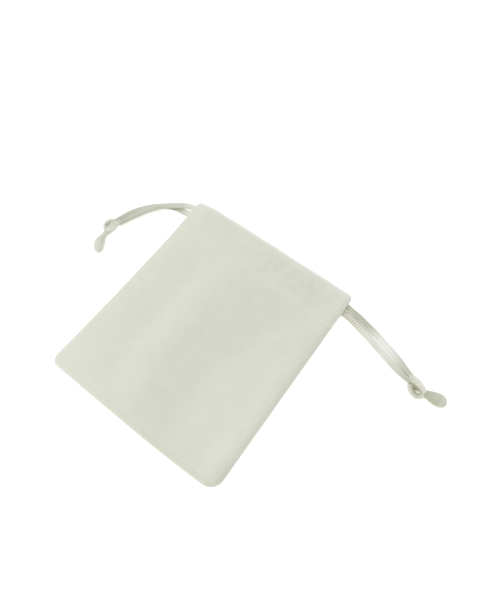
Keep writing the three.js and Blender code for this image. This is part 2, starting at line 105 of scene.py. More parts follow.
# centripetal spline through the points, cut into even steps of its length
def smoothPath(points, step):
    points = np.asarray(points, float)
    full = np.vstack([2 * points[0] - points[1], points, 2 * points[-1] - points[-2]])
    gaps = np.sqrt(np.linalg.norm(np.diff(full, axis=0), axis=1))[:, None]
    a, b, c, d = full[:-3], full[1:-2], full[2:-1], full[3:]
    gapA, gapB, gapC = gaps[:-2], gaps[1:-1], gaps[2:]
    slopeB = ((b - a) / gapA - (c - a) / (gapA + gapB) + (c - b) / gapB) * gapB
    slopeC = ((c - b) / gapB - (d - b) / (gapB + gapC) + (d - c) / gapC) * gapB
    t = np.linspace(0, 1, 40, endpoint=False)[None, :, None]
    b, c, slopeB, slopeC = (array[:, None, :] for array in (b, c, slopeB, slopeC))
    bend, twist = 3 * (c - b) - 2 * slopeB - slopeC, 2 * (b - c) + slopeB + slopeC
    curve = b + slopeB * t + bend * t ** 2 + twist * t ** 3
    line = np.vstack([curve.reshape(-1, 3), points[-1]])
    run = np.concatenate([[0], np.cumsum(np.linalg.norm(np.diff(line, axis=0), axis=1))])
    even = np.linspace(0, run[-1], max(2, int(round(run[-1] / step)) + 1))
    return np.stack([np.interp(even, run, line[:, k]) for k in range(3)], axis=1), even


# unit directions along a line of points
def tangentsOf(line):
    along = np.gradient(line, axis=0)
    return along / np.linalg.norm(along, axis=1, keepdims=True)


# carries a starting direction along the line, always square to it
def carriedAcross(tangents, start):
    across = np.empty_like(tangents)
    way = np.asarray(start, float)
    for i, tangent in enumerate(tangents):
        way = way - tangent * way.dot(tangent)
        way = way / np.linalg.norm(way)
        across[i] = way
    return across


# quads between neighbouring rows of point numbers
def quadsBetween(index):
    corners = [index[:-1, :-1], index[:-1, 1:], index[1:, 1:], index[1:, :-1]]
    return np.stack(corners, axis=-1).reshape(-1, 4)


# quads of a grid of rows and columns, whose columns may join up into rings
def gridQuads(rows, columns, closed=False):
    index = np.arange(rows * columns).reshape(rows, columns)
    return quadsBetween(np.hstack([index, index[:, :1]]) if closed else index)


# quads of a closed body of rings: its skin, and a strip of quads across each end ring
def tubeQuads(rings, sides):
    half = np.arange(sides // 2)
    other = sides - 1 - half
    endCap = np.stack([half[:-1], half[1:], other[1:], other[:-1]], axis=-1)
    return np.vstack([gridQuads(rings, sides, True), endCap[:, ::-1], endCap + (rings - 1) * sides])


# one body from several: points and faces follow each other, marks too
def joinBodies(bodies):
    points, polygons, marks, start = [], [], {}, 0
    for body in bodies:
        points.append(body["points"])
        polygons.extend((np.asarray(face) + start).tolist() for face in body["faces"])
        for name, values in body.get("marks", {}).items():
            marks.setdefault(name, []).append(values)
        start += len(body["points"])
    return {"points": np.vstack(points), "faces": polygons,
            "marks": {name: np.concatenate(values) for name, values in marks.items()}}


# a finished piece: mesh from arrays, its marks as point attributes, attached to the root body, with the solid
# it replaces hidden
def makePiece(name, body, material, node, sharpAngle=50):
    mesh = bpy.data.meshes.new(name)
    faces = body["faces"]
    faces = faces.tolist() if isinstance(faces, np.ndarray) else faces
    mesh.from_pydata((body["points"] * mm).tolist(), [], faces)
    for mark, values in body.get("marks", {}).items():
        attribute = mesh.attributes.new(mark, "FLOAT", "POINT")
        attribute.data.foreach_set("value", np.asarray(values, dtype=np.float32))
    mesh.polygons.foreach_set("use_smooth", np.ones(len(mesh.polygons), dtype=bool))
    mesh.update()
    mesh.set_sharp_from_angle(angle=math.radians(sharpAngle))
    mesh.materials.append(material)
    piece = addObject(name, mesh)
    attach(piece, "root")
    if node:
        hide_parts(node)
    return piece


# camera, at the photo's angle; the eye is in metres
cameraView = {"eye": (0.04864, -0.03573, 0.16743), "azimuth": 36.659, "elevation": 66.647, "lens": 25.98}
cameraData = bpy.data.cameras.new("photoCamera")
cameraData.sensor_width = 36
cameraData.lens = cameraView["lens"]
cameraData.clip_start = 0.005
camera = addObject("photoCamera", cameraData)
camera.location = cameraView["eye"]
camera.rotation_euler = (math.radians(90 - cameraView["elevation"]), 0, math.radians(cameraView["azimuth"]))
scene.camera = camera
scene.view_settings.view_transform = "Standard"
print("camera set")


# satin ribbon: woven polyester with long floats, so it is silky along its length, with firm ribbed edges
satin = {"light": "#f4f4ee", "dark": "#b5b7a0", "grooveShade": "#9c9679", "threadMm": 0.35, "drawnOut": 12,
         "cloudMm": 5.0, "cloudShare": 0.25, "threadShare": -0.25, "bump": 0.35, "bumpMm": 0.08,
         "roughness": 0.36, "specular": 0.45, "sheen": 0.25, "sheenRoughness": 0.4}


def satinMaterial():
    material, tree, shader = newMaterial("wovenSatinRibbon")
    marks = {name: addNode(tree, "ShaderNodeAttribute", {"attribute_name": name}).outputs["Fac"]
             for name in ("along", "across", "tone", "grooveShade")}
    weave = addNode(tree, "ShaderNodeCombineXYZ", sockets={"X": marks["along"], "Y": marks["across"]})
    # floats run along the ribbon, so the pattern is drawn out along it
    drawn = addNode(tree, "ShaderNodeMapping", sockets={
        "Vector": weave.outputs[0], "Scale": (1 / satin["drawnOut"], 1, 1)})
    floats = addNode(tree, "ShaderNodeTexNoise", sockets={
        "Vector": drawn.outputs[0], "Scale": 1 / satin["threadMm"], "Detail": 3.0, "Roughness": 0.6})
    clouds = addNode(tree, "ShaderNodeTexNoise", sockets={
        "Vector": weave.outputs[0], "Scale": 1 / satin["cloudMm"], "Detail": 2.0})
    # the tone mark is painted light and shade: satin lighter or darker as it turns to the light, and darker
    # where a strand is shadowed; clouds and floats vary that a little
    cloudy = addNode(tree, "ShaderNodeMath", timesPlus, {
        0: clouds.outputs["Fac"], 1: satin["cloudShare"], 2: marks["tone"]})
    threaded = addNode(tree, "ShaderNodeMath", timesPlus, {
        0: floats.outputs["Fac"], 1: satin["threadShare"], 2: cloudy.outputs[0]})
    colour = satin["dark"]
    # dark to light by the tone, then the groove colour as painted shade in creases, between ribs and inside
    # the knots
    for share, over in ((threaded.outputs[0], "light"), (marks["grooveShade"], "grooveShade")):
        colour = addNode(tree, "ShaderNodeMix", ofColours, {0: share, 6: colour, 7: satin[over]}).outputs[2]
    bump = addNode(tree, "ShaderNodeBump", sockets={
        "Strength": satin["bump"], "Distance": satin["bumpMm"] * mm, "Height": floats.outputs["Fac"]})
    fillSockets(tree, shader, {
        "Base Color": colour, "Normal": bump.outputs[0], "Roughness": satin["roughness"],
        "Specular IOR Level": satin["specular"], "Sheen Weight": satin["sheen"],
        "Sheen Roughness": satin["sheenRoughness"]})
    return material


satinRibbon = satinMaterial()

# plain ribbon: width in mm, place of the crease across it, how far an edge is pushed in, lean in degrees, and
# its tone and rib tables
# side shade paints one edge of a ribbon lighter and the other darker
plainRibbon = {"width": 3.0, "crease": 0.2, "sideShade": 0.0, "squeeze": 0.0, "outerEdge": 1, "lean": 0,
               "tonesAndShade": [(0, 0.6)], "ladder": [(0, 0.15)], "ladderFrom": 0.2, "shade": [(0, 0.0)]}
# the left strands are painted darker, the satin's shade as they turn away from the light
leftShadeTones = [(-65, 0.22), (-60, 0.25), (-52, 0.3), (-47, 0.42), (-42, 0.6), (-35, 0.6)]
# free strands of ribbon, from the side openings to the knots: exit and length in metres, route in mm; tones
# run from 0 dark to 1 light and ladders from 0 to 1, both by place across the pouch in mm
# the tone tables paint the shade where a strand lies in the other's shadow, and the satin's light and shade
# as it turns
strands = {
    "rightFrontStrand": {
        "node": "right_front_strand", "exit": (0.04, 0.0426, 0.0034), "length": 0.0438, "width": 3.25,
        "crease": 0.35, "sideShade": 0.05, "squeeze": 0.3, "lean": -20,
        "tonesAndShade": [(35, 0.3), (40, 0.2), (51, 0.22), (54, 0.48), (58, 0.88), (62, 0.88), (66, 0.75), (70, 0.4),
                  (74, 0.3)],
        "route": [
            (35, 41.8, 5.4), (37, 42.3, 4.2), (39, 42.6, 3.5), (41, 42.55, 3.35), (43.3, 42.25, 3.15),
            (45.4, 42, 2.9), (47.5, 41.7, 2.6), (49.6, 41.35, 2.25), (51.7, 40.95, 1.9), (55.8, 40.1, 1.25),
            (59.9, 39, 0.8), (63.8, 37.85, 0.75), (67.7, 36.55, 0.75), (71.4, 34.85, 1.1),
            (74.3, 33.2, 2.3)]},
    "rightBackStrand": {
        "node": "right_back_strand", "exit": (0.04, 0.0391, 0.0034), "length": 0.0426, "width": 3.2,
        "crease": -0.3, "sideShade": 0.05, "squeeze": 0.24, "outerEdge": -1, "lean": 25,
        "tonesAndShade": [(35, 0.6), (40, 0.7), (46, 0.75), (54, 0.82), (62, 0.82), (66, 0.7), (70, 0.5), (74, 0.3)],
        "ladder": [(45, 1.0), (49, 0.7), (54, 0.3), (64, 0.2), (74, 0.1)], "ladderFrom": -0.3,
        "shade": [(44, 0.6), (50, 0.5), (56, 0.0)],
        "route": [
            (35, 38.3, 2.5), (37, 38.8, 3.1), (39, 39.1, 3.4), (41, 39.1, 3.3), (42.8, 39, 3.1),
            (44.8, 38.85, 2.95), (46.8, 38.5, 2.7), (48.8, 38.1, 2.4), (50.9, 37.6, 2.1), (55, 36.7, 1.4),
            (59.1, 35.7, 0.9), (63.1, 34.55, 0.75), (67, 33.3, 0.75), (70.7, 32.1, 1.1), (73.9, 31, 2.3)]},
    "leftBackStrand": {
        "node": "left_back_strand", "exit": (-0.04, 0.0422, 0.0034), "length": 0.0424, "width": 3.15,
        "crease": 0.1, "sideShade": 0.12, "tonesAndShade": leftShadeTones,
        "route": [
            (-35, 41.5, 2.6), (-37, 42, 3.2), (-39, 42.2, 3.45), (-41, 42.15, 3.4), (-43.4, 41.7, 3.4),
            (-45.9, 40.5, 3.3), (-48.95, 38.65, 3), (-51.9, 36.5, 2.6), (-54.75, 34.05, 2.4),
            (-56.9, 31.15, 2.2), (-58.8, 28, 2.1), (-60.4, 24.5, 2), (-61.6, 21.6, 2.1), (-62.3, 19.7, 2.2),
            (-62.8, 18.1, 2.4)]},
    "leftFrontStrand": {
        "node": "left_front_strand", "exit": (-0.04, 0.0387, 0.0034), "length": 0.0454, "width": 3.15,
        "crease": -0.2, "sideShade": 0.12, "tonesAndShade": leftShadeTones,
        "route": [
            (-34.95, 36.7, 5.4), (-37, 38.1, 4.2), (-39, 38.65, 3.45), (-41, 38.7, 2.95), (-44.5, 38.7, 1.95),
            (-46.8, 38.7, 1.5), (-49, 38.5, 1.1), (-53, 37.1, 0.7), (-55.8, 35, 0.65), (-58.6, 32.3, 0.65),
            (-61.1, 29.3, 0.65), (-63.1, 26.1, 0.65), (-64.4, 23.2, 0.8), (-65.05, 20.2, 1.4),
            (-65.1, 17.9, 2.3)]},
}
# the ribbon's section, mm: cupped with its edges down and finely ribbed; it runs on into the knot
# the crease and the gaps between the ladder's ribs get painted shade
ribbon = {"thickness": 0.5, "cup": 0.3, "cupLevel": 0.35, "creaseDepth": 0.1, "creaseBreadth": 0.16,
          "creaseShade": 0.12, "ribPitch": 1.1, "ribDepth": 0.09, "ribEdge": 0.95, "ladderShade": 0.8,
          "edgeThins": 0.97, "edgePower": 6, "gatheredWidth": 2.2, "gatheredThickness": 1.4,
          "gatherLength": 11.0, "runsIn": 2.0, "leanStarts": (40, 43), "leanEnds": (49, 57),
          "squeezeFades": (13.0, 5.2), "squeezeReach": (-0.2, 0.4), "betweenRibs": (0.35, 0.75),
          "ladderFades": 0.3, "shadeReach": (-0.1, 0.7), "step": 0.16, "columns": 17}


# a closed section carried along a line: each ring is the line's point, so much across it and so much up
def sweptBody(line, run, across, wide, high, acrossMm, tone, grooveShade):
    up = np.cross(tangentsOf(line), across)
    points = line[:, None, :] + wide[..., None] * across[:, None, :] + high[..., None] * up[:, None, :]
    sides = len(acrossMm)
    marks = {"along": np.repeat(run, sides), "across": np.tile(acrossMm, len(run)), "tone": tone.ravel(),
             "grooveShade": np.clip(grooveShade, 0, 1).ravel()}
    return {"points": points.reshape(-1, 3), "faces": tubeQuads(len(run), sides), "marks": marks}


# value of a short table at each place, straight lines between its rows
def fromTable(table, places):
    keys, values = np.array(table, float).T
    return np.interp(places, keys, values)


# a closed ribbon section carried along a line: the upper face across and back by the lower face; each face is
# a shallow arch with one crease, and the edges swell and shrink by a cosine along the length
def ribbonBody(line, run, across, look, gathers):
    share = np.linspace(-1, 1, ribbon["columns"])
    place = np.concatenate([share, share[::-1]])
    face = np.concatenate([np.ones_like(share), -np.ones_like(share)])
    gather = gathers * ease(run[-1] - ribbon["gatherLength"], run[-1], run)[:, None]
    ribs = 0.5 + 0.5 * np.cos(2 * np.pi * run / ribbon["ribPitch"])[:, None]
    halfWidth = blend(look["width"], ribbon["gatheredWidth"], gather) / 2
    # the side opening pushes the outer edge of a right strand in a little
    squeezed = look["squeeze"] * ease(*ribbon["squeezeFades"], run)
    halfWidth = halfWidth * (1 - squeezed[:, None] * ease(*ribbon["squeezeReach"], look["outerEdge"] * place))
    halfWidth = halfWidth - ribbon["ribDepth"] * (1 - ribs) * (np.abs(place) > ribbon["ribEdge"])
    thick = blend(ribbon["thickness"], ribbon["gatheredThickness"], gather)
    edge = np.sqrt(np.clip(1 - ribbon["edgeThins"] * np.abs(place) ** ribbon["edgePower"], 0, 1))
    fold = bell(place, look["crease"], ribbon["creaseBreadth"])
    arch = ribbon["cup"] * (ribbon["cupLevel"] - place ** 2) * (1 - gather) - ribbon["creaseDepth"] * fold
    height = arch + face * edge * thick / 2
    # the ladder of ribs lies along the edge towards the bottom of the pouch, with painted shade between the
    # ribs
    ladder = fromTable(look["ladder"], line[:, 0])[:, None] * ease(*ribbon["betweenRibs"], 1 - ribs)
    ladder = ladder * ease(look["ladderFrom"], look["ladderFrom"] + ribbon["ladderFades"], -place)
    # painted shade along the crease and between the ladder's ribs, on the upper face
    grooveShade = (ribbon["ladderShade"] * ladder + ribbon["creaseShade"] * fold) * (face > 0)
    # side shade paints one edge lighter and the other darker
    tone = fromTable(look["tonesAndShade"], line[:, 0])[:, None] + look["sideShade"] * place
    # the other edge is in the shade of the strand above it
    tone = tone - fromTable(look["shade"], line[:, 0])[:, None] * ease(*ribbon["shadeReach"], place)
    body = sweptBody(line, run, across, halfWidth * place, height, place * look["width"] / 2, tone, grooveShade)
    return {**body, "faces": body["faces"][:, ::-1]}


for name, strand in strands.items():
    look = {**plainRibbon, **strand}
    route = np.array(strand["route"])
    last = route[-1] - route[-2]
    route = np.vstack([route, route[-1] + last / np.linalg.norm(last) * ribbon["runsIn"]])
    line, run = smoothPath(route, ribbon["step"])
    across = carriedAcross(tangentsOf(line), (0, 1, 0))
    # the right strands lean together on their way down
    amount = ease(*ribbon["leanStarts"], line[:, 0]) * (1 - ease(*ribbon["leanEnds"], line[:, 0]))
    angle = np.radians(look["lean"] * amount)[:, None]
    across = across * np.cos(angle) + np.cross(tangentsOf(line), across) * np.sin(angle)
    body = ribbonBody(line, run, across, look, True)
    makePiece(name, body, satinRibbon, strand["node"], 60)
print("ribbon strands made")

# knots: an overhand knot in the doubled ribbon, its line in a frame of its own (along, across, up), and the
# tail beyond it with its half widths, mm; tones, with painted light and shade and a painted highlight on the
# eye's fold, go by the share of the knot's or the tail's length
knots = {
    "rightKnot": {
        "node": "right_knot", "place": (78.5, 30.0), "heading": -16, "diameter": 2.4,
        "line": [(-3.9, 0.7, 2.4), (-3.0, 1.1, 2.8), (-1.95, 1.4, 3.2), (0.15, 1.5, 3.4), (2.1, 1.45, 2.9),
                 (3.55, 0.7, 2.2), (3.5, -0.7, 1.7), (2.5, -1.9, 1.5), (1.0, -2.2, 1.5), (-0.5, -1.75, 1.5),
                 (-1.5, -0.7, 1.5), (-0.8, 0.4, 1.4), (0.8, 0.8, 1.35), (2.4, 0.9, 1.5), (3.8, 0.95, 2.0)],
        "look": {"sideShade": -0.22, "wrinkleShade": 0.06,
                 "tonesAndShade": [(0, 0.4), (0.1, 0.6), (0.25, 0.72), (0.4, 0.6), (0.5, 0.42), (0.75, 0.42),
                           (1, 0.2)]},
        "tail": [(82.0, 29.7, 2.5, 1.4), (83.6, 30.2, 2.4, 1.8), (85.2, 30.5, 2.3, 2.3),
                 (87.0, 30.8, 2.25, 2.65), (88.7, 31.1, 2.2, 2.65), (90.0, 31.4, 2.1, 2.1),
                 (90.7, 31.6, 2.1, 1.0)],
        "tailLook": {"sideShade": 0.25, "tonesAndShade": [(0, 0.0), (0.25, 0.15), (0.6, 0.22), (0.8, 0.4), (1, 0.25)]},
        "eye": [(0.1, -1.1, 1.2), (1.0, -0.8, 1.5), (1.9, -0.4, 1.8), (2.9, 0.1, 2.0)],
        "eyeLook": {"wrinkleShade": 0.0, "tonesAndShade": [(0, 0.1), (0.4, 0.25), (0.7, 0.75), (1, 0.6)]},
        "strands": ("rightFrontStrand", "rightBackStrand")},
    "leftKnot": {
        "node": "left_knot", "place": (-65.4, 13.6), "heading": -97, "diameter": 2.5,
        "line": [(-3.7, 0.7, 2.3), (-2.9, 0.9, 2.7), (-1.5, 1.0, 3.1), (0.3, 1.0, 3.2), (1.9, 0.9, 2.8),
                 (2.7, 0.0, 2.2), (2.4, -1.5, 1.7), (1.1, -2.7, 1.5), (-0.4, -2.8, 1.5), (-1.6, -2.0, 1.6),
                 (-1.9, -0.7, 1.6), (-0.9, 0.5, 1.4), (0.9, 0.9, 1.4), (2.5, 1.0, 1.6), (3.5, 1.0, 1.9)],
        "look": {"sideShade": -0.1, "wrinkleShade": 0.16,
                 "tonesAndShade": [(0, 0.35), (0.15, 0.45), (0.35, 0.5), (0.55, 0.75), (0.7, 0.6), (1, 0.45)]},
        "tail": [(-65.4, 10.5, 2.2, 1.2), (-64.9, 8.5, 2.0, 1.2), (-64.6, 6.6, 1.95, 1.65),
                 (-64.0, 4.6, 1.95, 2.3), (-63.0, 2.9, 1.95, 2.3), (-61.7, 1.4, 1.9, 2.05),
                 (-60.7, 0.4, 1.9, 1.0)],
        "tailLook": {"sideShade": 0.0, "tonesAndShade": [(0, 0.45), (0.3, 0.5), (1, 0.52)]},
        "eye": [(-0.6, -1.3, 1.3), (0.2, -1.1, 1.6), (0.9, -0.8, 1.8), (1.6, -0.4, 1.9)],
        "eyeLook": {"wrinkleShade": 0.1, "tonesAndShade": [(0, 0.5), (0.5, 0.3), (1, 0.5)]},
        "strands": ("leftFrontStrand", "leftBackStrand")},
}
# what both knots share: pleats round the tube, their depth and the painted shade in their creases, and the
# painted shade inside the loop
knotLooks = {"look": {"pleats": 3, "depth": 0.05, "dark": 0.15, "inner": 0.35},
             "tailLook": {"pleats": 3, "depth": 0.015, "dark": 0.06, "wrinkleShade": 0.0, "inner": 0.0},
             "eyeLook": {"pleats": 3, "depth": 0.03, "dark": 0.1, "sideShade": -0.1, "inner": 0.0}}
knotRibbon = {"entryWide": 3.4, "entryHigh": 2.4, "entryShare": 0.3, "wrinkleMm": 1.4, "twist": 0.35,
              "twistMm": 2.3, "eyeHalf": 0.85, "endRound": 1.02, "tailFlatness": 0.8, "halfMm": 1.5,
              "step": 0.14, "sides": 36}


# a pleated tube: rings of an ellipse whose radius rises and falls a few times round it; its tone holds
# painted light and shade: one side darker than the other, wrinkles painted along it, and painted shade in the
# pleats' creases and on the side towards the inside of the knot
def pleatedTube(line, run, halfWide, halfHigh, first, look):
    across = carriedAcross(tangentsOf(line), first)
    angle = 2 * np.pi * np.arange(knotRibbon["sides"]) / knotRibbon["sides"]
    twist = knotRibbon["twist"] * np.sin(run / knotRibbon["twistMm"])[:, None]
    wave = np.cos(look["pleats"] * (angle[None, :] + twist))
    radius = 1 + look["depth"] * wave
    wide = halfWide[:, None] * radius * np.cos(angle)
    high = halfHigh[:, None] * radius * np.sin(angle)
    # waves of several lengths keep the painted wrinkles from being regular
    uneven = 1.8 * np.sin(1.3 * run)[:, None] + 0.9 * np.sin(2 * angle + 0.7 * run[:, None])
    wrinkleShade = np.sin(2 * np.pi * run[:, None] / knotRibbon["wrinkleMm"] + 2.2 * np.sin(angle) + uneven)
    tone = fromTable(look["tonesAndShade"], run / run[-1])[:, None] + look["sideShade"] * np.cos(angle)
    tone = tone + look["wrinkleShade"] * wrinkleShade
    grooveShade = look["dark"] * ease(0.2, 1.0, -wave) + look["inner"] * ease(0.5, 0.95, np.cos(angle))
    return sweptBody(line, run, across, wide, high, knotRibbon["halfMm"] * np.cos(angle), tone, grooveShade)


for name, knot in knots.items():
    looks = {part: {**shared, **knot[part]} for part, shared in knotLooks.items()}
    turn = math.radians(knot["heading"])
    turned = np.array([[math.cos(turn), math.sin(turn), 0], [-math.sin(turn), math.cos(turn), 0], [0, 0, 1]])
    (line, run), (eyeLine, eyeRun) = (
        smoothPath(np.array(knot[part]) @ turned + np.array([*knot["place"], 0]), knotRibbon["step"])
        for part in ("line", "eye"))
    squeezed = ease(0, knotRibbon["entryShare"], run / run[-1])
    wide, high = (blend(knotRibbon[entry], knot["diameter"], squeezed) / 2
                  for entry in ("entryWide", "entryHigh"))
    bodies = [pleatedTube(line, run, wide, high, np.cross(tangentsOf(line)[0], (0, 0, 1)), looks["look"])]
    # a fold of the ribbon fills the eye of the loop; its tones paint the shade in the eye and a highlight on
    # the fold
    eyeHalf = knotRibbon["eyeHalf"] * np.sqrt(knotRibbon["endRound"] - (2 * eyeRun / eyeRun[-1] - 1) ** 2)
    bodies.append(pleatedTube(eyeLine, eyeRun, eyeHalf, eyeHalf, (0, 1, 0), looks["eyeLook"]))
    tail = np.array(knot["tail"])
    tailLine, tailRun = smoothPath(tail[:, :3], knotRibbon["step"])
    spots = np.concatenate([[0], np.cumsum(np.linalg.norm(np.diff(tail[:, :3], axis=0), axis=1))])
    tailHalf = np.interp(tailRun / tailRun[-1], spots / spots[-1], tail[:, 3])
    flat = np.cross((0, 0, 1), tangentsOf(tailLine)[0])
    bodies.append(pleatedTube(tailLine, tailRun, tailHalf, tailHalf * knotRibbon["tailFlatness"], flat,
                              looks["tailLook"]))
    makePiece(name, joinBodies(bodies), satinRibbon, knot["node"], 60)
    for strandName in knot["strands"]:
        strand = strands[strandName]
print("knots made")

# cloth body, mm, with the same sizes as the solids
pouch = {"width": 80, "length": 92, "wall": 1.0, "seamHeight": 3.4, "seamGap": 0.3, "roll": 4.0,
         "mouthRoll": 2.8, "rollNarrows": 0.7, "rollPower": 2.6, "bowFades": 0.5, "bottomY": -46.0}
pouchSides = {"left": {"waist": 0.7, "corner": 3.4, "bow": 0.1, "seamEnd": 44.7},
              "right": {"waist": 0.0, "corner": 5.5, "bow": 0.9, "seamEnd": 46.0}}
crown = {"bottomMiddle": 6.8, "bottomSide": 6.5, "mouthMiddle": 11.7, "mouthSide": 7.6, "levelFrom": 0.83,
         "reach": 39, "flatness": 3.5}
folds = [{"bottomX": -3, "halfwayX": -9, "mouthX": 0, "breadth": 7, "rise": 0.6},
         {"bottomX": 18, "halfwayX": 18, "mouthX": 45, "breadth": 14, "rise": -1.2},
         {"bottomX": 36.5, "halfwayX": 36, "mouthX": 35, "breadth": 6, "rise": 0.5}]
foldSpan = {"grownAt": 0.15, "fadeFrom": 0.6, "fadeTo": 0.85, "leftAtHem": 0.25}
mouth = {"foot": 47.6, "footHeight": 4.5, "drawBack": 0.51, "thickened": 2.0, "step": 1.0, "backY": 45.4}
hem = {"depth": 15.2, "halfLength": 27.0, "casing": 1.5, "sewnIn": 0.4, "leavesLip": 1.6, "stitchedEdge": 0.5,
       "highLane": 4.6, "lowLane": 8.6, "laneRoom": 1.8}
opening = {"top": 0.6, "bottom": 9.8, "topRamp": 1.0, "bottomRamp": 1.6, "lift": 1.1}


# the left side's value where x is below 0, else the right side's
def bySide(x, key):
    return np.where(x < 0, pouchSides["left"][key], pouchSides["right"][key])


# share of the pouch's length: 0 at the bottom seam, 1 at the mouth
def lengthShare(y):
    return np.clip((y - pouch["bottomY"]) / pouch["length"], 0, 1)


# rounded edge: 0 at the seam, 1 where the roll ends; a power of 2 would be a quarter ellipse
def rolled(t):
    rest = 1 - np.clip(t, 0, 1)
    return (1 - rest ** pouch["rollPower"]) ** (1 / pouch["rollPower"])


# the rolled edge gets narrower towards the mouth, where the hem keeps the cloth flat
def rollAt(y):
    return blend(pouch["roll"], pouch["mouthRoll"], ease(pouch["rollNarrows"], 1, lengthShare(y)))


# how far a side draws in: a parabola along the pouch
def waistAt(x, y):
    along = y / (pouch["length"] / 2)
    return bySide(x, "waist") * (1 - along * along)


# half the width at a distance along the pouch, with the round bottom corner
def halfWidthAt(x, y, inset):
    half = pouch["width"] / 2 - inset - waistAt(x, y)
    radius = bySide(x, "corner") - inset
    below = np.clip(radius - np.maximum(0, y - pouch["bottomY"] - inset), 0, None)
    return half - radius + np.sqrt(np.clip(radius * radius - below * below, 0, None))


# distance in plan from the side and bottom seams
def seamDistance(x, y):
    corner = bySide(x, "corner")
    sideways = np.abs(x) + waistAt(x, y) - (pouch["width"] / 2 - corner)
    down = pouch["bottomY"] + corner - y
    outside = np.hypot(np.maximum(sideways, 0), np.maximum(down, 0))
    return np.maximum(0, corner - outside - np.minimum(np.maximum(sideways, down), 0))


# a fold's line: the parabola through its places at the bottom, halfway and at the mouth
def foldLine(fold, t):
    return (fold["bottomX"] * (1 - t) * (1 - 2 * t) + fold["mouthX"] * t * (2 * t - 1)
            + 4 * fold["halfwayX"] * t * (1 - t))


# soft folds: bell-shaped ridges and a valley along curved lines, fading towards the hem
def foldHeight(x, y):
    t = lengthShare(y)
    fade = 1 - (1 - foldSpan["leftAtHem"]) * ease(foldSpan["fadeFrom"], foldSpan["fadeTo"], t)
    height = np.zeros_like(t)
    for fold in folds:
        height = height + fold["rise"] * bell(x, foldLine(fold, t), fold["breadth"])
    return height * fade * ease(0, foldSpan["grownAt"], t)


# front cloth before its edges roll down: a crown that rises to the mouth and falls to the sides
def crownHeight(x, y):
    t = np.minimum(1, lengthShare(y) / crown["levelFrom"])
    middle = blend(crown["bottomMiddle"], crown["mouthMiddle"], t)
    side = blend(crown["bottomSide"], crown["mouthSide"], t)
    fall = np.minimum(1, np.abs(x) / crown["reach"]) ** crown["flatness"]
    return blend(side, middle, 1 - fall) + foldHeight(x, y)


# the side seam gapes where the ribbons come out
def seamLift(x, y):
    below = bySide(x, "seamEnd") - y
    opens = ease(opening["top"], opening["top"] + opening["topRamp"], below)
    closes = 1 - ease(opening["bottom"] - opening["bottomRamp"], opening["bottom"], below)
    return opening["lift"] * opens * closes


# the cloths' edges along the seam: half the gap and the lift above and below its height
def frontRim(x, y):
    return pouch["seamHeight"] + pouch["seamGap"] / 2 + seamLift(x, y)


def backRim(x, y):
    return pouch["seamHeight"] - pouch["seamGap"] / 2 - seamLift(x, y)


# outer faces fall from the crown, or rise from the table, to the seam round the rolled edge
def frontOuter(x, y):
    return blend(frontRim(x, y), crownHeight(x, y), rolled(seamDistance(x, y) / rollAt(y)))


def backOuter(x, y):
    return backRim(x, y) * (1 - rolled(seamDistance(x, y) / rollAt(y)))


# the same roll on the inside, which starts one wall further in
def insideShare(x, y):
    return rolled((seamDistance(x, y) - pouch["wall"]) / (rollAt(y) - pouch["wall"]))


# inner faces: from the seam to one wall inside the outer faces
def frontInner(x, y):
    return blend(frontRim(x, y), crownHeight(x, y) - pouch["wall"], insideShare(x, y))


def backInner(x, y):
    return blend(backRim(x, y), pouch["wall"], insideShare(x, y))


# the front lip draws back where it stands high, and both lips end at the seam corners
def frontLip(x):
    mouthY = np.full_like(x, pouch["length"] / 2)
    high = crownHeight(x, mouthY) - foldHeight(x, mouthY)
    drawn = np.minimum(bySide(x, "seamEnd"), mouth["foot"] - mouth["drawBack"] * (high - mouth["footHeight"]))
    half = pouch["width"] / 2
    return blend(drawn, bySide(x, "seamEnd"), ease(half - pouch["roll"], half, np.abs(x)))


# the back lip is straight and eases over to the seam corners
def backLip(x):
    half = pouch["width"] / 2
    return blend(mouth["backY"], bySide(x, "seamEnd"), ease(half - 3 * pouch["roll"], half, np.abs(x)))


# the lip is doubled cloth: the inner face steps in by one more layer
def lipLayer(below):
    half = mouth["step"] / 2
    return pouch["wall"] * (1 - ease(mouth["thickened"] - half, mouth["thickened"] + half, below))


# details of the sewn cloth: unevenness, the hem's step with its puckers, and faint ridges over the ribbons
cloth = {"hemStep": 0.3, "hemStepWidth": 4.5, "hemMargin": 1.6, "puckerDepth": 0.012, "puckerReach": 1.6,
         "stitchPitch": 2.2, "laneRise": 0.1, "laneBreadth": 1.3, "unevenness": 0.03, "evenHem": (16, 10),
         "evenShare": 0.6, "waves": 7, "waveMm": (9, 24), "lipWave": 0.12, "lipWaveMm": 3.1, "lipSway": 0.6,
         "lipSwayMm": 7.7, "tuckIn": 0.4, "tuckDrop": 0.12, "rollSteps": 14, "flatColumns": 132,
         "bodyRows": 92, "hemRows": 72, "lipArc": 14}
# how far the material's marks reach, in mm below the lip or across: where each starts and where it is full
# besideLip is painted light beside the lip, inside is painted shade on the inner faces
clothMarks = {"lip": (1.8, 0.9), "besideLip": 0.5, "inside": 0.25, "crushed": 0.15, "hem": (17, 13),
              "underLip": (2, 4), "rightPart": (-8, 12)}
# slow waves over the cloth, each with its own heading, length and start
waveHeading = random.uniform(0, np.pi, cloth["waves"])
waveLength = random.uniform(*cloth["waveMm"], cloth["waves"])
waveStart = random.uniform(0, 2 * np.pi, cloth["waves"])


# sum of the sine waves
def unevenness(x, y):
    waves = [np.sin(2 * np.pi * (x * math.cos(heading) + y * math.sin(heading)) / length + start)
             for heading, length, start in zip(waveHeading, waveLength, waveStart)]
    return cloth["unevenness"] * np.sum(waves, axis=0) / math.sqrt(cloth["waves"])


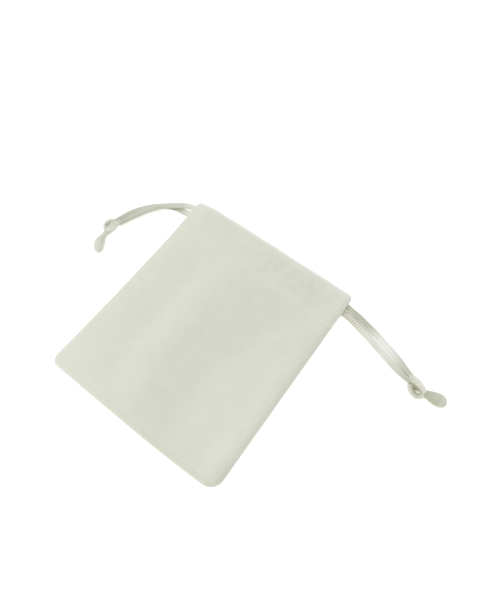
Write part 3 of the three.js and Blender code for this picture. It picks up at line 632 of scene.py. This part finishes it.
# a smooth step down past the hem's seam, a cosine of puckers along it and a bell over each ribbon
def sewnDetail(x, below):
    off = below - hem["depth"]
    step = cloth["hemStep"] * (ease(cloth["hemStepWidth"], 0, off + 0.5 * cloth["hemStepWidth"]) - 1)
    pucker = np.cos(2 * np.pi * x / cloth["stitchPitch"]) * bell(off, 0, cloth["puckerReach"])
    lanes = sum(bell(below, lane, cloth["laneBreadth"]) for lane in (hem["highLane"], hem["lowLane"]))
    return step + cloth["puckerDepth"] * pucker + cloth["laneRise"] * lanes


# shares of the rolled edge, closer together towards the seam by a cosine
rollSteps = 1 - np.cos(np.linspace(0, np.pi / 2, cloth["rollSteps"] + 1))


# places across: the roll's steps at both sides, even between them
def columnPlaces(half, roll):
    flat = np.linspace(roll - half, half - roll, cloth["flatColumns"] + 1)[1:-1]
    return np.concatenate([-half + roll * rollSteps, flat, (half - roll * rollSteps)[::-1]]) / half


# plan of one face: columns across and rows from the bottom seam up to just under the lip
def planGrid(lipAt, inset):
    half = pouch["width"] / 2 - inset
    roll = pouch["roll"] - inset
    u = columnPlaces(half, roll)[None, :]
    lip = lipAt(u * half)
    low = pouch["bottomY"] + inset + roll * rollSteps[:, None] + 0 * lip
    hemTop = lip[0] - hem["depth"] - cloth["hemMargin"]
    body = np.linspace(low[-1], hemTop, cloth["bodyRows"] + 1)[1:]
    upper = np.linspace(hemTop, lip[0] - pouch["wall"], cloth["hemRows"] + 1)[1:]
    y = np.vstack([low, body, upper])
    side = u + 0 * y
    x = u * halfWidthAt(side, y, inset)
    bow = bySide(side, "bow") * u * u * (1 - ease(0, pouch["bowFades"], lengthShare(y)))
    return x, y, bow, lip


# a grid's edge from the lip down the left side, along the bottom and up the right side
def edgePath(rows, columns):
    left = np.arange(rows - 1, 0, -1) * columns
    right = np.arange(1, rows) * columns + columns - 1
    return np.concatenate([left, np.arange(columns), right])


# one panel: outer and inner faces, a round lip between them, and a rim tucked in along the seams
def clothPanel(outerAt, innerAt, lipAt, rimAt, away, detailAt, shadingAt):
    x, y, bow, lip = planGrid(lipAt, 0)
    rows, columns = x.shape
    inSeam = rolled(seamDistance(x, y) / rollAt(y))
    below = lip - y
    outerZ = outerAt(x, y) - away * detailAt(x, y, below) * inSeam
    outer = np.stack([x, y + bow, outerZ], axis=-1)
    innerX, innerY, innerBow, innerLip = planGrid(lipAt, pouch["wall"])
    innerBelow = innerLip - innerY
    innerZ = innerAt(innerX, innerY) + away * lipLayer(innerBelow) * insideShare(innerX, innerY)
    inner = np.stack([innerX, innerY + innerBow, innerZ], axis=-1)
    # the lip is a half circle from the outer to the inner face
    swing = np.linspace(0, np.pi, cloth["lipArc"] + 2)[1:-1, None]
    middle = (outer[-1] + inner[-1]) / 2
    reach = (outer[-1] - inner[-1]) / 2
    arc = middle[None] + reach[None] * np.cos(swing)[..., None]
    sway = cloth["lipSway"] * np.sin(x[-1] / cloth["lipSwayMm"])
    wave = cloth["lipWave"] * np.sin(x[-1] / cloth["lipWaveMm"] + sway)
    arc[..., 1] += (pouch["wall"] + wave) * np.sin(swing)
    # the rim turns in along the seam
    tuckX, tuckY, tuckBow, _ = planGrid(lipAt, cloth["tuckIn"])
    tuckZ = rimAt(tuckX, tuckY) + away * cloth["tuckDrop"]
    tuck = np.stack([tuckX, tuckY + tuckBow, tuckZ], axis=-1).reshape(-1, 3)
    path = edgePath(rows, columns)
    points = np.vstack([outer.reshape(-1, 3), inner.reshape(-1, 3), arc.reshape(-1, 3), tuck[path]])
    count = rows * columns
    arcStart, tuckStart = 2 * count, 2 * count + cloth["lipArc"] * columns
    outerQuads = gridQuads(rows, columns)
    innerQuads = outerQuads[:, ::-1] + count
    last = np.arange(columns) + (rows - 1) * columns
    arcRows = arcStart + np.arange(cloth["lipArc"] * columns).reshape(-1, columns)
    lipRows = np.vstack([last, arcRows, last + count])
    rimRows = np.vstack([path, tuckStart + np.arange(len(path)), path + count])
    endLeft = [*lipRows[:, 0].tolist(), int(rimRows[1, 0])]
    endRight = [*lipRows[::-1, -1].tolist(), int(rimRows[1, -1])]
    quads = np.vstack([outerQuads, innerQuads, quadsBetween(lipRows), quadsBetween(rimRows[:, ::-1])])
    faces = quads.tolist() + [endLeft, endRight]
    if away > 0:
        faces = [face[::-1] for face in faces]
    # marks for the material: painted light on and beside the lip, painted shade in the seam's tucked rim and
    # on the inner faces, painted light and shade over the folds and edges, and how crushed
    nearLip = [clothMarks["besideLip"] * ease(*clothMarks["lip"], gap).ravel() for gap in (below, innerBelow)]
    lipLightMark = np.concatenate([*nearLip, np.ones(cloth["lipArc"] * columns), np.zeros(len(path))])
    grooveShadeMark = np.concatenate([np.zeros(count), np.full(count, clothMarks["inside"]),
                                 np.zeros(cloth["lipArc"] * columns), np.ones(len(path))])
    shadingMark = np.concatenate([shadingAt(x, y, below).ravel(), np.zeros(len(points) - count)])
    inHem = ease(*clothMarks["hem"], below) * ease(*clothMarks["underLip"], below)
    inHem = inHem * ease(*clothMarks["rightPart"], x)
    crushed = blend(clothMarks["crushed"], 1, inHem)
    crushMark = np.concatenate([crushed.ravel(), np.full(len(points) - count, clothMarks["crushed"])])
    return {"points": points, "faces": faces,
            "marks": {"lip": lipLightMark, "grooveShade": grooveShadeMark, "paintedShading": shadingMark, "crush": crushMark}}


# the front is less uneven in the hem
def frontDetail(x, y, below):
    return sewnDetail(x, below) + unevenness(x, y) * (1 - cloth["evenShare"] * ease(*cloth["evenHem"], below))


# the back lies on the table, so its details only go inwards
def backDetail(x, y, below):
    return np.minimum(0, sewnDetail(x, below) - cloth["laneRise"])


# painted light and shade, from 1 darker to -1 paler: painted shade in the hollow between the left ridge and
# the valley and in a band on the left, painted light on the ridges and along the right ridge; pairs say where
# a change starts and where it is full
shadingLayout = {"hem": (19, 15), "hemShadeKept": 0.6, "underLip": (2, 5), "body": (0.02, 0.16),
          "hollowGrows": (-0.12, 0.2), "hollowStart": (-1, 8), "hollowEnd": (-6, 3), "ridgeLight": 0.5,
          "ridgeOff": 6, "ridgeBreadth": 3.5, "leftShade": 0.3, "leftX": -22, "leftBreadth": 6,
          "rightPale": 0.45, "rightX": 33.5, "rightBreadth": 3.5, "rightFades": (0.5, 0.75)}
# patches of painted light and shade along the edges and in the corners, by x in mm, t as a share of the
# length and mm below the lip: painted light at the left, the lower left, the right of the hem and under the
# lip, painted shade on the right rolled edge, in the low right corner and along the bottom
shadingPatches = [{"adds": -0.6, "x": (-29, -38)}, {"adds": -1.3, "x": (25, 38), "t": (0.72, 0.97)},
              {"adds": 1.4, "x": (37.2, 39.8)}, {"adds": -0.5, "x": (-10, -30), "t": (0.35, 0)},
              {"adds": 2.0, "x": (34, 39), "t": (0.16, 0.03)}, {"adds": 0.84, "t": (0.04, 0.012)},
              {"adds": 1.08, "x": (-25, 25), "t": (0.04, 0.012)}, {"adds": -0.35, "below": (5, 2)}]


# sum of the hollow's painted shade, the painted light along the ridges and the patches, each an amount times
# its smooth steps
def frontShading(x, y, below):
    t = lengthShare(y)
    start, end = foldLine(folds[0], t), foldLine(folds[1], t)
    inHem = ease(*shadingLayout["hem"], below)
    body = ease(*shadingLayout["body"], t) * (1 - inHem)
    hollow = ease(*shadingLayout["hollowStart"], x - start) * (1 - ease(*shadingLayout["hollowEnd"], x - end))
    hollow = hollow * ease(*shadingLayout["hollowGrows"], t) * ease(*shadingLayout["underLip"], below)
    paintedShading = hollow * (1 - (1 - shadingLayout["hemShadeKept"]) * inHem)
    paintedShading = paintedShading - shadingLayout["ridgeLight"] * bell(x, start - shadingLayout["ridgeOff"], shadingLayout["ridgeBreadth"]) * body
    paintedShading = paintedShading + shadingLayout["leftShade"] * bell(x, shadingLayout["leftX"], shadingLayout["leftBreadth"]) * body
    right = bell(x, shadingLayout["rightX"], shadingLayout["rightBreadth"]) * (1 - ease(*shadingLayout["rightFades"], t))
    paintedShading = paintedShading - shadingLayout["rightPale"] * right
    places = {"x": x, "t": t, "below": below}
    for patch in shadingPatches:
        reach = [ease(*patch[key], places[key]) for key in places if key in patch]
        paintedShading = paintedShading + patch["adds"] * np.prod(reach, axis=0)
    return paintedShading


# the back has no painted light or shade
def backShading(x, y, below):
    return np.zeros_like(x)


# the hem's inner layer: a sheet that stands off the wall over the two ribbons and is sewn in along its edges
# its groove level paints shade on the inner layer
hemSheet = {"rows": 44, "columns": 90, "upTo": 1.2, "grooveShade": 0.2}


# room for the ribbons: opens below the lip and closes above the hem's seam by smooth steps
def casingDepth(below):
    opens = ease(hem["leavesLip"], hem["highLane"] - hem["laneRoom"], below)
    closes = 1 - ease(hem["lowLane"] + hem["laneRoom"], hem["depth"] - hem["stitchedEdge"], below)
    return hem["casing"] * opens * closes


# two faces, one wall apart, that follow the panel's inner face at the casing's depth, and a wall round them
def hemLayer(innerAt, lipAt, away):
    below = np.linspace(hem["depth"], hemSheet["upTo"], hemSheet["rows"])[:, None]
    x = np.linspace(-hem["halfLength"], hem["halfLength"], hemSheet["columns"])[None, :] + 0 * below
    y = lipAt(x) - below
    depth = casingDepth(below)
    near = innerAt(x, y) + away * (depth - hem["sewnIn"] * (1 - depth / hem["casing"]))
    far = innerAt(x, y) + away * (depth + pouch["wall"])
    rows, columns = x.shape
    faces = [np.stack([x, y, z], axis=-1) for z in (near, far)]
    ring = np.concatenate([np.arange(columns), np.arange(1, rows) * columns + columns - 1,
                           np.arange(rows * columns - 2, (rows - 1) * columns - 1, -1),
                           np.arange(rows - 2, 0, -1) * columns])
    count = rows * columns
    nextRing = np.roll(ring, -1)
    wall = np.stack([ring, ring + count, nextRing + count, nextRing], axis=-1)
    quads = np.vstack([gridQuads(rows, columns), gridQuads(rows, columns)[:, ::-1] + count, wall])
    if away > 0:
        quads = quads[:, ::-1]
    levels = {"lip": 0.0, "grooveShade": hemSheet["grooveShade"], "paintedShading": 0.0, "crush": clothMarks["crushed"]}
    return {"points": np.vstack([face.reshape(-1, 3) for face in faces]), "faces": quads,
            "marks": {name: np.full(2 * count, level) for name, level in levels.items()}}


# suede cloth: knitted backing with a short brushed nap, so it is matt, faintly mottled and pale at grazing
# angles
# lip is a painted light colour for the folded edge, groove a painted shade colour for the seam's rim and the
# inner faces
suede = {"light": "#e4e6db", "dark": "#ced0c1", "lip": "#efefe8", "grooveShade": "#b9bba9", "napMm": 0.7,
         "brushMm": 7.0, "crushMm": 3.2, "fibreMm": 0.3, "brushShare": 0.6, "mixedLow": 0.55,
         "mixedHigh": 1.05, "paleLow": 0.42, "paleHigh": 0.68, "shadingShare": -0.22, "crushLow": 0.35,
         "crushHigh": 0.65, "patchShare": 0.13, "grooveShadeShare": 0.35, "fibreShare": 0.6, "bump": 0.3,
         "bumpMm": 0.12, "roughness": 0.95, "specular": 0.2, "sheen": 0.3, "sheenRoughness": 0.55,
         "sheenTint": "#f4f4ea"}


def suedeMaterial():
    material, tree, shader = newMaterial("nappedSuedeCloth")
    place = addNode(tree, "ShaderNodeTexCoord").outputs["Object"]
    marks = {name: addNode(tree, "ShaderNodeAttribute", {"attribute_name": name}).outputs["Fac"]
             for name in ("lip", "grooveShade", "paintedShading", "crush")}
    # the real nap is finer than a pixel; it is drawn at this size so that it shows
    details = {"brush": {"Detail": 2.0, "Distortion": 0.6}, "crush": {"Detail": 3.0, "Roughness": 0.55},
               "nap": {"Detail": 4.0, "Roughness": 0.65}, "fibre": {"Detail": 5.0, "Roughness": 0.7}}
    noise = {name: addNode(tree, "ShaderNodeTexNoise", sockets={
        "Vector": place, "Scale": 1 / (suede[name + "Mm"] * mm), **detail}).outputs["Fac"]
        for name, detail in details.items()}
    # how pale the nap is: about half, more or less by the brushing and the nap, and by the painted light and
    # shade of the shading mark
    mixed = addNode(tree, "ShaderNodeMath", timesPlus, {
        0: noise["brush"], 1: suede["brushShare"], 2: noise["nap"]})
    even = addNode(tree, "ShaderNodeMapRange", sockets={
        "Value": mixed.outputs[0], "From Min": suede["mixedLow"], "From Max": suede["mixedHigh"],
        "To Min": suede["paleLow"], "To Max": suede["paleHigh"]})
    shaded = addNode(tree, "ShaderNodeMath", timesPlus, {
        0: marks["paintedShading"], 1: suede["shadingShare"], 2: even.outputs[0]})
    # in the hem the nap is crushed into small patches
    patches = addNode(tree, "ShaderNodeMapRange", sockets={
        "Value": noise["crush"], "From Min": suede["crushLow"], "From Max": suede["crushHigh"],
        "To Min": -suede["patchShare"], "To Max": suede["patchShare"]})
    pale = addNode(tree, "ShaderNodeMath", timesPlus, {
        0: patches.outputs[0], 1: marks["crush"], 2: shaded.outputs[0]})
    inGroove = addNode(tree, "ShaderNodeMath", {"operation": "MULTIPLY"}, {
        0: marks["grooveShade"], 1: suede["grooveShadeShare"]})
    colour = suede["dark"]
    # then the lip's painted light and the painted shade in the seam's rim and on the inner faces
    for share, over in ((pale.outputs[0], "light"), (marks["lip"], "lip"), (inGroove.outputs[0], "grooveShade")):
        colour = addNode(tree, "ShaderNodeMix", ofColours, {0: share, 6: colour, 7: suede[over]}).outputs[2]
    heights = addNode(tree, "ShaderNodeMath", timesPlus, {
        0: noise["fibre"], 1: suede["fibreShare"], 2: noise["nap"]})
    bump = addNode(tree, "ShaderNodeBump", sockets={
        "Strength": suede["bump"], "Distance": suede["bumpMm"] * mm, "Height": heights.outputs[0]})
    fillSockets(tree, shader, {
        "Base Color": colour, "Normal": bump.outputs[0], "Roughness": suede["roughness"],
        "Specular IOR Level": suede["specular"], "Sheen Weight": suede["sheen"],
        "Sheen Roughness": suede["sheenRoughness"], "Sheen Tint": suede["sheenTint"]})
    return material


suedeCloth = suedeMaterial()
frontBody = joinBodies([clothPanel(frontOuter, frontInner, frontLip, frontRim, -1, frontDetail, frontShading),
                        hemLayer(frontInner, frontLip, -1)])
backBody = joinBodies([clothPanel(backOuter, backInner, backLip, backRim, 1, backDetail, backShading),
                       hemLayer(backInner, backLip, 1)])
frontCloth = makePiece("frontCloth", frontBody, suedeCloth, "front_panel")
backCloth = makePiece("backCloth", backBody, suedeCloth, "back_panel")
print("cloth panels made")

# hidden runs of ribbon in the hem: in by the front hem, round at the far side and back by the back hem
runs = {
    "rightCasingRun": {"node": "right_casing_run", "side": 1, "front": 4.6, "back": 8.6,
                       "frontEnd": [(34.6, 41.7, 5.7), (31.4, 40.5, 7.5)],
                       "backEnd": [(31.4, 36.8, 1.9), (34.35, 38.0, 2.4)]},
    "leftCasingRun": {"node": "left_casing_run", "side": -1, "front": 8.6, "back": 4.6,
                      "frontEnd": [(-34.6, 36.5, 5.6), (-31.7, 34.4, 7.4)],
                      "backEnd": [(-31.4, 41.0, 1.9), (-34.5, 41.4, 2.4)]},
}
runTurn = {"startX": 28.4, "reach": 3.6, "stops": 11, "stopReach": 22.5, "step": 0.5}


# a lane follows the hem at a fixed depth below the lip; the turn between the lanes is a leaning semicircle
def runLine(values):
    side = values["side"]
    between = np.linspace(runTurn["stopReach"], -runTurn["stopReach"], runTurn["stops"])
    stops = side * np.concatenate([[hem["halfLength"]], between, [-runTurn["startX"]]])
    frontY = frontLip(stops) - values["front"]
    front = np.stack([stops, frontY, frontInner(stops, frontY) - hem["casing"] / 2], axis=1)
    backY = backLip(stops) - values["back"]
    back = np.stack([stops, backY, backInner(stops, backY) + hem["casing"] / 2], axis=1)[::-1]
    swing = np.radians([30, 60, 90, 120, 150])[:, None]
    turn = blend(front[-1], back[0], (1 - np.cos(swing)) / 2)
    turn[:, 0] = front[-1, 0] - side * runTurn["reach"] * np.sin(swing[:, 0])
    return smoothPath(np.vstack([values["frontEnd"], front, turn, back, values["backEnd"]]), runTurn["step"])


for name, values in runs.items():
    line, run = runLine(values)
    tangents = tangentsOf(line)
    across = np.array([0.0, 1.0, 0.0]) - tangents * tangents[:, 1:2]
    across = across / np.linalg.norm(across, axis=1, keepdims=True)
    body = ribbonBody(line, run, across, plainRibbon, False)
    makePiece(name, body, satinRibbon, values["node"], 60)
print("hidden ribbon made")

# stitches along the hem: short twisted thread, half sunk in the groove
stitch = {"pitch": 2.2, "length": 1.55, "diameter": 0.3, "reach": 37.0, "rings": 7, "sides": 8, "sink": -0.06,
          "endsDip": 0.16, "endRound": 1.02}
thread = {"dark": "#d3d5c7", "light": "#dfe1d5", "twistMm": 0.25, "roughness": 0.6, "sheen": 0.2}


# spun thread: matt, its tone changing with the twist
def threadMaterial():
    material, tree, shader = newMaterial("spunPolyesterThread")
    place = addNode(tree, "ShaderNodeTexCoord").outputs["Object"]
    twist = addNode(tree, "ShaderNodeTexNoise", sockets={
        "Vector": place, "Scale": 1 / (thread["twistMm"] * mm), "Detail": 2.0})
    tone = addNode(tree, "ShaderNodeMix", ofColours, {
        0: twist.outputs["Fac"], 6: thread["dark"], 7: thread["light"]})
    fillSockets(tree, shader, {
        "Base Color": tone.outputs[2], "Roughness": thread["roughness"], "Sheen Weight": thread["sheen"]})
    return material


# each stitch is a little arch of thread: rings along its length, thinner at both ends
def stitchRow(surfaceAt, lipAt, outwards):
    middles = np.arange(-stitch["reach"], stitch["reach"] + 0.01, stitch["pitch"]) + stitch["pitch"] / 2
    middles = middles[np.abs(middles) < stitch["reach"]]
    t = np.linspace(-1, 1, stitch["rings"])
    x = middles[:, None] + t[None, :] * stitch["length"] / 2
    y = lipAt(x) - hem["depth"]
    z = surfaceAt(x, y) + outwards * (stitch["sink"] - stitch["endsDip"] * t[None, :] ** 4)
    angle = 2 * np.pi * np.arange(stitch["sides"]) / stitch["sides"]
    radius = stitch["diameter"] / 2 * np.sqrt(np.clip(stitch["endRound"] - t ** 6, 0, 1))[None, :, None]
    px = x[..., None] + 0 * radius * angle
    py = y[..., None] + radius * np.cos(angle)
    pz = z[..., None] + radius * np.sin(angle)
    points = np.stack([px, py, pz], axis=-1)
    one = tubeQuads(stitch["rings"], stitch["sides"])
    size = stitch["rings"] * stitch["sides"]
    faces = (one[None] + size * np.arange(len(middles))[:, None, None]).reshape(-1, 4)
    return {"points": points.reshape(-1, 3), "faces": faces}


sewingThread = threadMaterial()


# the front face with its sewn details at the hem's depth
def frontStitchSurface(x, y):
    detail = frontDetail(x, y, np.full_like(x, hem["depth"]))
    return frontOuter(x, y) + detail * rolled(seamDistance(x, y) / rollAt(y))


frontStitches = makePiece("frontHemStitches", stitchRow(frontStitchSurface, frontLip, 1), sewingThread, None)
print("stitches made")

# floor and light
studio = {"floorHalf": 1.5, "floorDrop": 0.00004, "floorColour": "#f6f6f6", "floorGlow": 0.42, "toothMm": 1.5,
          "toothBump": 0.05, "toothTallMm": 0.05, "roughness": 0.9, "specular": 0.1, "white": "#ffffff",
          "world": 0.65, "key": {"from": (-0.46, -0.89, 0.95), "power": 5.0, "size": 0.7},
          "top": {"from": (0.1, 0.2, 1.2), "power": 2.8, "size": 0.9}}


# plain white paper: a faint tooth, and a little light of its own so that it stays white under the pouch's
# edge
def floorMaterial():
    material, tree, shader = newMaterial("whitePaperFloor")
    place = addNode(tree, "ShaderNodeTexCoord").outputs["Object"]
    tooth = addNode(tree, "ShaderNodeTexNoise", sockets={
        "Vector": place, "Scale": 1 / (studio["toothMm"] * mm), "Detail": 3.0})
    bump = addNode(tree, "ShaderNodeBump", sockets={
        "Strength": studio["toothBump"], "Distance": studio["toothTallMm"] * mm,
        "Height": tooth.outputs["Fac"]})
    fillSockets(tree, shader, {
        "Base Color": studio["floorColour"], "Normal": bump.outputs[0], "Roughness": studio["roughness"],
        "Specular IOR Level": studio["specular"], "Emission Color": studio["white"],
        "Emission Strength": studio["floorGlow"]})
    return material


half, drop = studio["floorHalf"], studio["floorDrop"]
floorMesh = bpy.data.meshes.new("floor")
corners = [(-half, -half, -drop), (half, -half, -drop), (half, half, -drop), (-half, half, -drop)]
floorMesh.from_pydata(corners, [], [(0, 1, 2, 3)])
floorMesh.materials.append(floorMaterial())
addObject("floor", floorMesh)

for name in ("key", "top"):
    values = studio[name]
    lamp = bpy.data.lights.new(name + "Light", "AREA")
    lamp.energy = values["power"]
    lamp.size = values["size"]
    lampObject = addObject(name + "Light", lamp)
    x, y, z = values["from"]
    lampObject.location = (x, y, z)
    lampObject.rotation_euler = (math.atan2(math.hypot(x, y), z), 0, math.atan2(x, -y))  # aimed at the origin

world = bpy.data.worlds.new("studioWorld")
world.use_nodes = True
background = world.node_tree.nodes["Background"]
fillSockets(world.node_tree, background, {"Color": studio["white"], "Strength": studio["world"]})
scene.world = world
print("floor and light set")
